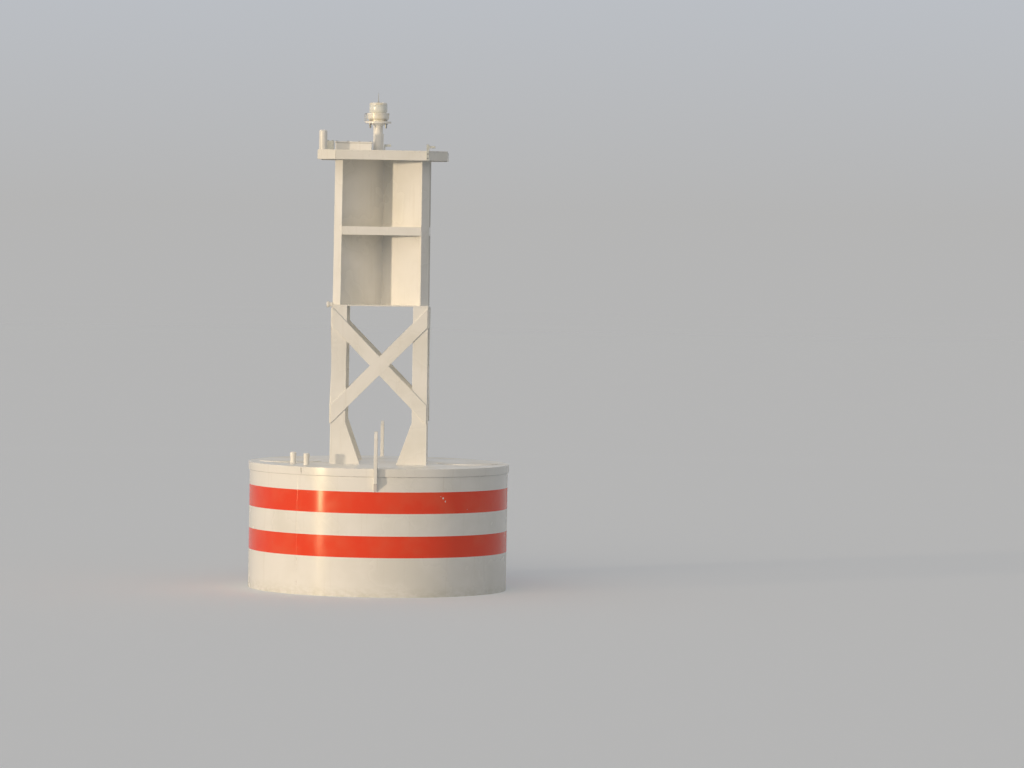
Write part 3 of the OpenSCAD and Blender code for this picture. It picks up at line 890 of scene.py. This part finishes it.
@dataclass
class Tower(SubAssembly):
    """What the tower's pieces share: its four leaning faces."""

    deck: float = field(default_factory=lambda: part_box("leg_front_left")[0].z)
    foot_half: float = field(default_factory=lambda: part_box("leg_front_right")[1].x)
    level: float = field(default_factory=lambda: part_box("reflector_base")[1].z)
    level_half: float = field(default_factory=lambda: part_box("reflector_base")[1].x)

    def half(self, z: float) -> float:
        """Half width of the tower at a level."""
        share = (z - self.deck) / (self.level - self.deck)
        return self.foot_half + (self.level_half - self.foot_half) * share

    def on_face(self, k: int, x: float, z: float, out: float = 0.0) -> Vector:
        """A point on the k-th leaning face.

        Args:
            k: Number of the face: front, right, back, left.
            x: Distance to the right of the face's middle, seen from outside.
            z: Height.
            out: Distance outside the face.

        Returns:
            The point.
        """
        return quarter(k) @ Vector((x, -self.half(z) - out, z))


@dataclass
class BracedStage(Tower):
    """The four legs and the crossed braces between deck and reflector."""

    leg_w: float = 140 * MM
    leg_t: float = 13 * MM
    foot_w: float = 281 * MM
    brace_v: float = 176 * MM
    brace_t: float = 10 * MM

    def build(self) -> None:
        """Dresses legs and braces and lays their welds."""
        self.dress(Coat.WHITE, *("leg_" + c for c in CORNERS), edge_mm=2.5)
        self.dress(Coat.WHITE, *("brace_" + s for s in SIDES), edge_mm=1.5)
        self.dress(Coat.WHITE, *("brace_cross_" + s for s in SIDES), edge_mm=1.5)
        welds = Forge("stage_welds")
        for k in range(4):
            self.foot_welds(welds, k)
            self.brace_welds(welds, k)
            self.head_welds(welds, k)
        self.close(welds, Coat.WHITE)

    def foot_welds(self, forge: Forge, k: int) -> None:
        """Welds on both sides of the k-th face's two flanges where they stand on the deck."""
        h = self.foot_half
        for side in (-1, 1):
            for inset, way in ((0.0, -1), (self.leg_t, 1)):
                ends = [quarter(k) @ Vector((side * (h - cut), -h + inset, self.deck))
                        for cut in (inset, self.foot_w)]
                forge.bead(line(*ends, quarter(k) @ Vector((0, way, 1))), Bead.FOOT_FILLET)

    def head_welds(self, forge: Forge, k: int) -> None:
        """Flat welds between the legs' heads and the reflector's base plate."""
        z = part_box("reflector_base")[0].z
        for side in (-1, 1):
            ends = [self.on_face(k, side * (self.half(z) - d), z) for d in (0.0, self.leg_w)]
            forge.bead(line(*ends, quarter(k) @ FRONT), Bead.FLAT)

    def brace_welds(self, forge: Forge, k: int) -> None:
        """Fillets where the braces lap the legs, and flat welds where they cross."""
        low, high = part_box("brace_front")
        slope = (high.z - self.brace_v - low.z) / (high.x - low.x)
        face = quarter(k) @ FRONT
        tips = ((low.x, self.leg_w, low.z), (high.x, -self.leg_w, high.z - self.brace_v))
        for way in (-1, 1):
            for tip, lap, foot in tips:
                for z, lift in ((foot, -1), (foot + self.brace_v, 1)):
                    ends = [self.on_face(k, way * (tip + d), z + slope * d) for d in (0.0, lap)]
                    forge.bead(line(*ends, face + UP * lift), Bead.LAP_FILLET)
        self.crossing_welds(forge, k, low.z - slope * low.x, slope)

    def crossing_welds(self, forge: Forge, k: int, z: float, slope: float) -> None:
        """Flat welds along both edges of the whole brace where the halved one meets it.

        Args:
            forge: The mesh of the welds.
            k: Number of the face.
            z: Level at which the lower edges of the two braces meet.
            slope: Rise of the whole brace for each metre to the right.
        """
        reach = self.brace_v / 2 / slope
        for x, foot in ((0.0, z), (-reach, z + self.brace_v / 2)):
            ends = [self.on_face(k, x + d, foot + slope * d, self.brace_t) for d in (0.0, reach)]
            forge.bead(line(*ends, quarter(k) @ FRONT), Bead.FLUSH)


@dataclass
class RadarReflector(Tower):
    """Base and middle plates, crossed reflector plates, corner bars and rails."""

    fin_half: float = 3 * MM
    stitch: float = 55 * MM
    stitch_gap: float = 150 * MM
    first_out: float = 60 * MM
    first_up: float = 40 * MM
    bar_w: float = 104 * MM
    rail_in: float = 4 * MM
    rail_back: float = 2 * MM

    def build(self) -> None:
        """Dresses the reflector and lays its welds."""
        self.dress(Coat.WHITE, "reflector_base", "reflector_middle", "reflector_rails",
                   *("corner_bar_" + c for c in CORNERS), edge_mm=1.5)
        self.dress(Coat.WHITE, "fin_lower", "fin_lower_cross", "fin_upper", "fin_upper_cross", edge_mm=0.8)
        self.dress(Coat.WHITE, "tie_knob", edge_mm=3.0)
        welds = Forge("reflector_welds")
        for node in ("fin_lower", "fin_upper"):
            low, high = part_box(node)
            self.centre_welds(welds, low.z, high.z)
            self.plate_stitches(welds, low.z, high.z, high.x * math.sqrt(2))
        self.rail_welds(welds)
        self.close(welds, Coat.WHITE)

    def centre_welds(self, forge: Forge, low: float, high: float) -> None:
        """Upright fillets where the plates cross."""
        for azimuth in (0, 90, 180, 270):
            ends = [around(self.fin_half * 2, azimuth, z) for z in (low, high)]
            forge.bead(line(*ends, around(1, azimuth, 0)), Bead.CROSS_FILLET)

    def plate_stitches(self, forge: Forge, low: float, high: float, reach: float) -> None:
        """Stitch welds along the plates' edges.

        Args:
            forge: The mesh of the welds.
            low: Level of the plates' lower edges.
            high: Level of their upper edges.
            reach: Distance of their outer edges from the axis.
        """
        for azimuth in DIAGONALS:
            for side in (-1, 1):
                shift = around(self.fin_half * side, azimuth + 90, 0)
                away = shift.normalized()
                for z, lift in ((low, 1), (high, -1)):
                    for start in self.steps(self.first_out, reach - self.stitch):
                        ends = [around(r, azimuth, z) + shift for r in (start, start + self.stitch)]
                        forge.bead(line(*ends, away + UP * lift), Bead.LAP_FILLET)
                for start in self.steps(low + self.first_up, high - self.stitch):
                    ends = [around(reach, azimuth, z) + shift for z in (start, start + self.stitch)]
                    forge.bead(line(*ends, away - around(1, azimuth, 0)), Bead.LAP_FILLET)

    def steps(self, first: float, last: float) -> list[float]:
        """Starts of the stitches between two places."""
        count = int((last - first) / self.stitch_gap) + 1
        return [first + self.stitch_gap * i for i in range(count)]

    def rail_welds(self, forge: Forge) -> None:
        """Upright welds between the rails' ends and the corner bars."""
        low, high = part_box("reflector_rails")
        bar = self.bar_w * math.sqrt(0.5)
        for k in range(4):
            for side in (-1, 1):
                ends = [self.on_face(k, side * (self.half(z) - bar - self.rail_in), z, -self.rail_back)
                        for z in (low.z, high.z)]
                forge.bead(line(*ends, quarter(k) @ FRONT), Bead.RAIL_END)


@dataclass
class Platform(SubAssembly):
    """Eight-sided platform with its skirt and the small fittings on it."""

    side: float = 878 * MM
    screw_across: float = 14 * MM
    strap_screw: float = 0.8
    strap_screw_in: float = 20 * MM
    lid_inset: float = 20 * MM
    small_lid_insets: int = 5
    strap_w: float = 26 * MM
    strap_in: float = 1 * MM
    socket_r: float = 38 * MM
    post_r: float = 45 * MM
    conduit_r: float = 8 * MM
    seal_out: float = 4 * MM
    seal_t: float = 6 * MM
    seal_round: float = 1.5 * MM

    def build(self) -> None:
        """Dresses the platform and its fittings, and adds welds, screws and a seal."""
        skirts = ("skirt_front", "skirt_right", "skirt_back", "skirt_left", "skirt_corners")
        self.dress(Coat.NONSKID, "platform_plate", edge_mm=1.5)
        self.dress(Coat.WHITE, *skirts, "antenna_socket", "equipment_box", "equipment_lid", edge_mm=1.5)
        self.dress(Coat.GALVANISED, "junction_box", "hook_clips", edge_mm=1.5)
        self.edge_welds()
        self.foot_welds()
        self.screws()
        self.seal()

    def corners(self) -> list[Vector]:
        """The eight corners of the plate, seen from above."""
        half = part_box("platform_plate")[1].x
        ends = (-self.side / 2, self.side / 2)
        return [quarter(k) @ Vector((x, -half, 0)) for k in range(4) for x in ends]

    def edge_welds(self) -> None:
        """Welds at the skirt's corners and between skirt and plate."""
        top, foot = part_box("platform_plate")[0].z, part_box("skirt_front")[0].z
        welds = Forge("skirt_welds")
        for here, there in laps(self.corners()):
            welds.bead(line(here + UP * foot, here + UP * top, here), Bead.FLAT)
            welds.bead(line(here + UP * top, there + UP * top, (there - here).cross(UP)), Bead.FLUSH)
        self.close(welds, Coat.WHITE)

    def foot_welds(self) -> None:
        """Welds round the feet of the socket, the box, the lantern's post and its conduit."""
        welds = Forge("platform_fitting_welds")
        for node, radius, aside in (("antenna_socket", self.socket_r, 0.0),
                                    ("lantern_post", self.post_r, 0.0),
                                    ("lantern_post", self.conduit_r, self.post_r)):
            low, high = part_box(node)
            centre = Vector(((low.x + high.x) / 2 + aside, (low.y + high.y) / 2, low.z))
            welds.bead(ring(radius, 0, 45, centre), closed=True)
        low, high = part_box("equipment_box")
        corners = ((low.x, low.y), (high.x, low.y), (high.x, high.y), (low.x, high.y))
        for here, there in laps([Vector((x, y, low.z)) for x, y in corners]):
            welds.bead(line(here, there, (there - here).normalized().cross(UP) + UP), Bead.LAP_FILLET)
        self.close(welds, Coat.WHITE)

    def screws(self) -> None:
        """Screws in the lids of the two boxes and in the strap on the skirt."""
        screws = Forge("lid_screws")
        self.lid_screws(screws, "equipment_lid", 4, 3)
        self.lid_screws(screws, "junction_box", 2, 2)
        clip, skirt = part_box("hook_clips"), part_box("skirt_front")
        x = skirt[1].x - self.strap_in - self.strap_w / 2
        for z in (skirt[0].z + self.strap_screw_in, skirt[1].z - self.strap_screw_in):
            screws.bolt(seat(Vector((x, clip[0].y, z)), FRONT), self.screw_across * self.strap_screw)
        self.close(screws, Coat.STAINLESS)

    def lid_screws(self, forge: Forge, node: str, columns: int, rows: int) -> None:
        """Screws round the rim of a lid.

        Args:
            forge: The mesh of the screws.
            node: The lid's node.
            columns: Number of screws along X.
            rows: Number of screws along Y.
        """
        low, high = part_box(node)
        inset = min(self.lid_inset, (high.x - low.x) / self.small_lid_insets)
        for i in range(columns):
            for j in range(rows):
                if 0 < i < columns - 1 and 0 < j < rows - 1:
                    continue
                x = low.x + inset + (high.x - low.x - 2 * inset) * i / (columns - 1)
                y = low.y + inset + (high.y - low.y - 2 * inset) * j / (rows - 1)
                forge.bolt(seat(Vector((x, y, high.z))), self.screw_across)

    def seal(self) -> None:
        """The seal that stands out a little between the equipment box and its lid."""
        low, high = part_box("equipment_box")
        seals = Forge("lid_seals")
        size = Vector((high.x - low.x + self.seal_out, high.y - low.y + self.seal_out, self.seal_t))
        seals.slab((low + high) / 2 + UP * (high.z - low.z) / 2, size, self.seal_round)
        self.close(seals, Coat.GASKET)


@dataclass
class Lantern(SubAssembly):
    """Post, flanged base, body, lens, cap and bird spike."""

    bail_out: float = 118 * MM
    bail_half: float = 8 * MM
    bail_h: float = 72 * MM
    bail_step: int = 15

    def build(self) -> None:
        """Dresses the lantern, and adds the wire bail on its left."""
        self.dress(Coat.WHITE, "lantern_post", edge_mm=1.5)
        self.dress(Coat.LANTERN, "lantern_base", "lantern_body", "lantern_cap", edge_mm=1.2)
        self.dress(Coat.STAINLESS, "lantern_bolts", "bird_spike", edge_mm=0.6)
        self.dress(Coat.LENS, "lantern_lens", edge_mm=0.6)
        self.bail()

    def bail(self) -> None:
        """A tall wire loop that stands on the base's flange, beside the body."""
        low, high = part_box("lantern_base")
        middle = Vector(((low.x + high.x) / 2 - self.bail_out, (low.y + high.y) / 2, high.z))
        r = self.bail_half
        loop = []
        for level, first in ((self.bail_h - r, 0), (r - Bead.WIRE.width / 2, 180)):
            for angle in range(first, first + 180 + self.bail_step, self.bail_step):
                turn = math.radians(angle)
                loop.append((middle + Vector((r * math.cos(turn), 0, level + r * math.sin(turn))), FRONT))
        wire = Forge("lantern_bail")
        wire.bead(loop, Bead.WIRE, closed=True, ripple=0.0, sides=10)
        self.close(wire, Coat.STAINLESS)


@dataclass
class PhotoCamera:
    """The photograph's camera, worked out from the horizon, the float's width and the bands' ellipses."""

    image_w: int = 1024
    image_h: int = 768
    sensor_mm: float = 36.0
    focal_px: float = 4957.0
    distance: float = 46.8
    height: float = 3.587
    azimuth: float = 1.4
    lean: float = 0.9
    base_px: tuple[float, float] = (377.0, 587.5)
    sees_to: float = 2000.0

    def build(self) -> None:
        """Aims it so that the waterline's centre falls on its pixel and the buoy leans as it does."""
        eye = around(self.distance, self.azimuth, self.height)
        lean = math.radians(self.lean)
        towards = Vector((self.base_px[0] - self.image_w / 2, self.image_h / 2 - self.base_px[1],
                          -self.focal_px))
        seen = self.basis(towards, Vector((math.sin(lean), math.cos(lean), 0)))
        real = self.basis(-eye, UP)
        data = bpy.data.cameras.new("photo_camera")
        data.sensor_width = self.sensor_mm
        data.lens = self.focal_px / self.image_w * self.sensor_mm
        data.clip_end = self.sees_to
        camera = bpy.data.objects.new("photo_camera", data)
        camera.matrix_world = Matrix.Translation(eye) @ (real @ seen.transposed()).to_4x4()
        bpy.context.scene.collection.objects.link(camera)
        bpy.context.scene.camera = camera

    @staticmethod
    def basis(towards: Vector, up: Vector) -> Matrix:
        """Right, up and back axes, as columns, of a look along one direction."""
        ahead = towards.normalized()
        right = ahead.cross(up).normalized()
        return Matrix((right, right.cross(ahead), -ahead)).transposed()


@dataclass(frozen=True)
class Sun:
    """A far lamp. Its azimuth, its rise above the floor and its width are in degrees."""

    name: str
    energy: float
    azimuth: float
    rise: float
    width: float
    shadow: bool = True
    mirrored: bool = False


@dataclass
class Studio:
    """Plain pale floor at the waterline under soft lamps and an even sky."""

    floor_hex: str = "#E6EBF1"
    bounce_hex: str = "#AEB3B8"
    floor_half: float = 1500.0
    fade_from: float = 26.0
    fade_to: float = 130.0
    high_hex: str = "#BEC4CD"
    high_slope: float = 0.07
    sky_hex: str = "#EFF4FA"
    sky: float = 0.41
    lamp_hex: str = "#FFE7C6"
    suns: tuple[Sun, ...] = (Sun("key_lamp", 1.74, -53.0, 2.5, 2.5),
                             Sun("glow_lamp", 0.74, -20.0, 30.0, 50.0),
                             Sun("back_lamp", 0.35, 150.0, 55.0, 5.0, shadow=False, mirrored=True))
    strip_hex: str = "#FFE2A6"
    strip: float = 850.0
    strip_size: tuple[float, float] = (0.4, 6.4)
    strip_azimuth: float = -49.0
    strip_reach: float = 12.0
    strip_foot: float = 0.05

    def build(self) -> None:
        """Makes the floor, the sky and the lamps."""
        self.floor()
        self.world()
        for sun in self.suns:
            spot = around(1, sun.azimuth, math.tan(math.radians(sun.rise)))
            lamp = self.lamp(sun.name, "SUN", sun.energy, spot)
            lamp.data.angle = math.radians(sun.width)
            lamp.data.use_shadow = sun.shadow
            lamp.visible_glossy = sun.mirrored
        self.strip_lamp()

    def lit_floor(self) -> tuple[float, float, float, float]:
        """Colour that the open floor shows under the lamps and the sky."""
        lamps = sum(sun.energy * math.sin(math.radians(sun.rise)) for sun in self.suns)
        tones = zip(*(linear(tone)[:3] for tone in (self.floor_hex, self.sky_hex, self.lamp_hex)))
        return *(floor * (sky * self.sky + lamp * lamps / math.pi) for floor, sky, lamp in tones), 1.0

    def floor(self) -> None:
        """A wide floor that hides what is below it, fades out far off, and is open seen from below."""
        mesh = bmesh.new()
        bmesh.ops.create_grid(mesh, x_segments=1, y_segments=1, size=self.floor_half)
        data = bpy.data.meshes.new("studio_floor")
        mesh.to_mesh(data)
        mesh.free()
        floor = bpy.data.objects.new("studio_floor", data)
        bpy.context.scene.collection.objects.link(floor)
        c = Coating("pale_floor")
        tone = c.over(self.bounce_hex, self.floor_hex, self.looked_at(c.tree))
        shader = add_node(c.tree, "ShaderNodeBsdfDiffuse", links={"Color": tone})
        clear = add_node(c.tree, "ShaderNodeBsdfTransparent")
        reach = add_node(c.tree, "ShaderNodeVectorMath", {"operation": "LENGTH"}, {0: c.place})
        far = c.between(reach.outputs["Value"], 0, 1, self.fade_from, self.fade_to)
        side = add_node(c.tree, "ShaderNodeNewGeometry")
        gone = add_node(c.tree, "ShaderNodeMath", {"operation": "MAXIMUM"},
                        {0: far, 1: side.outputs["Backfacing"]})
        mix = add_node(c.tree, "ShaderNodeMixShader", links={
            0: gone.outputs["Value"], 1: shader.outputs["BSDF"], 2: clear.outputs["BSDF"]})
        add_node(c.tree, "ShaderNodeOutputMaterial", links={"Surface": mix.outputs["Shader"]})
        data.materials.append(c.made)

    def world(self) -> None:
        """An even sky that lights the buoy, and shows the floor's own tone, another one higher up."""
        world = bpy.data.worlds.new("studio_sky")
        world.use_nodes = True
        tree = world.node_tree
        tree.nodes.clear()
        ways = add_node(tree, "ShaderNodeTexCoord")
        rise = add_node(tree, "ShaderNodeSeparateXYZ", links={"Vector": ways.outputs["Generated"]})
        share = add_node(tree, "ShaderNodeMapRange", {"From Min": 0.0, "From Max": self.high_slope},
                         {"Value": rise.outputs["Z"]})
        tones = {"data_type": "RGBA", 6: self.lit_floor(), 7: linear(self.high_hex)}
        tone = add_node(tree, "ShaderNodeMix", tones, {0: share.outputs["Result"]})
        shown = add_node(tree, "ShaderNodeBackground", {"Strength": 1.0}, {"Color": tone.outputs[2]})
        light = add_node(tree, "ShaderNodeBackground",
                         {"Color": linear(self.sky_hex), "Strength": self.sky})
        mix = add_node(tree, "ShaderNodeMixShader", links={
            0: self.looked_at(tree), 1: light.outputs["Background"], 2: shown.outputs["Background"]})
        add_node(tree, "ShaderNodeOutputWorld", links={"Surface": mix.outputs["Shader"]})
        bpy.context.scene.world = world

    @staticmethod
    def looked_at(tree: bpy.types.NodeTree) -> Socket:
        """A mask that is 1 where the camera looks, directly, in a reflection or through glass."""
        path = add_node(tree, "ShaderNodeLightPath").outputs
        seen = path["Is Camera Ray"]
        for ray in ("Is Glossy Ray", "Is Transmission Ray"):
            seen = add_node(tree, "ShaderNodeMath", {"operation": "MAXIMUM"},
                            {0: seen, 1: path[ray]}).outputs["Value"]
        return seen

    def lamp(self, name: str, kind: str, energy: float, spot: Vector) -> bpy.types.Object:
        """A lamp that looks at the buoy and isn't seen itself.

        Args:
            name: Its name.
            kind: Blender's name for its type.
            energy: Its strength.
            spot: Where it hangs.

        Returns:
            The lamp.
        """
        data = bpy.data.lights.new(name, kind)
        data.energy = energy
        data.color = linear(self.lamp_hex)[:3]
        lamp = bpy.data.objects.new(name, data)
        lamp.matrix_world = Matrix.Translation(spot) @ PhotoCamera.basis(-spot, UP).to_4x4()
        lamp.visible_camera = False
        bpy.context.scene.collection.objects.link(lamp)
        return lamp

    def strip_lamp(self) -> None:
        """A tall strip at the front left, of which only the bright line down float and post shows."""
        spot = around(self.strip_reach, self.strip_azimuth, self.strip_size[1] / 2 + self.strip_foot)
        lamp = self.lamp("strip_lamp", "AREA", self.strip, spot)
        lamp.visible_diffuse = False
        lamp.data.color = linear(self.strip_hex)[:3]
        lamp.data.shape = "RECTANGLE"
        lamp.data.size, lamp.data.size_y = self.strip_size


@dataclass
class KnownMarks:
    """Marks at known places: worn lug eyes, a streak on the fender ring, chips in the upper band."""

    shell: float = field(default_factory=lambda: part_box("hull_upper")[1].x)
    lug: Vector = field(default_factory=lambda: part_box("lifting_lug_back")[1])
    eye_drop: float = 70 * MM
    fender_t: float = 10 * MM
    streak_azimuth: float = -34.4
    streak_z: float = 1.15
    # Azimuth, height, width in millimetres and upward stretch of each chip.
    chips: tuple[tuple[float, ...], ...] = ((30.8, 0.915, 14, 1.4), (31.9, 0.885, 8, 2.4),
                                            (29.6, 0.93, 6, 1.2))

    def white(self) -> tuple[Mark, ...]:
        """The marks in the white enamel."""
        y, z = self.lug.y - self.eye_drop, self.lug.z - self.eye_drop
        eyes = [Mark(Vector((0, side * y, z)), 64, "#77614C", (4, 1, 1), 0.8) for side in (-1, 1)]
        streak = around(self.shell + self.fender_t, self.streak_azimuth, self.streak_z)
        return *eyes, Mark(streak, 12, "#6F6A60", (1, 1, 5), 0.7)

    def band(self) -> tuple[Mark, ...]:
        """The chips in the upper band."""
        return tuple(Mark(around(self.shell, azimuth, z), size, "#EDEAE2", (1, 1, tall))
                     for azimuth, z, size, tall in self.chips)


def mix_finishes() -> dict[Coat, Material]:
    """Makes each finish once. The deck's grit is drawn 5 mm wide, coarser than real, to show.

    Returns:
        The materials by finish.
    """
    marks = KnownMarks()
    recipes = {
        Coat.WHITE: MarineEnamel(marks=marks.white()),
        Coat.NONSKID: MarineEnamel("white_deck_enamel", body="#F0EEE8", chalk="#E8E5DC",
                                   roughness=(0.34, 0.46), grit_mm=5.0),
        Coat.BAND: BandEnamel(marks=marks.band()),
        Coat.BOTTOM: BottomPaint(),
        Coat.BALLAST: CastIron(),
        Coat.GALVANISED: GalvanisedSteel(),
        Coat.STAINLESS: StainlessSteel(),
        Coat.LANTERN: MouldedPolycarbonate(),
        Coat.GASKET: GasketRubber(),
        Coat.LENS: LensPolycarbonate(),
    }
    return {coat: recipe.material() for coat, recipe in recipes.items()}


def main() -> None:
    """Builds the studio, then dresses the buoy, sub-assembly by sub-assembly."""
    logging.basicConfig(level=logging.INFO, format="%(message)s")
    bpy.context.scene.view_settings.view_transform = "Standard"
    PhotoCamera().build()
    Studio().build()
    finishes = mix_finishes()
    for maker in (Float, Tail, LiftingGear, DeckFittings, BracedStage, RadarReflector, Platform, Lantern):
        LOG.info("building %s", maker.__name__)
        maker(finishes).build()


if __name__ == "__main__":
    main()
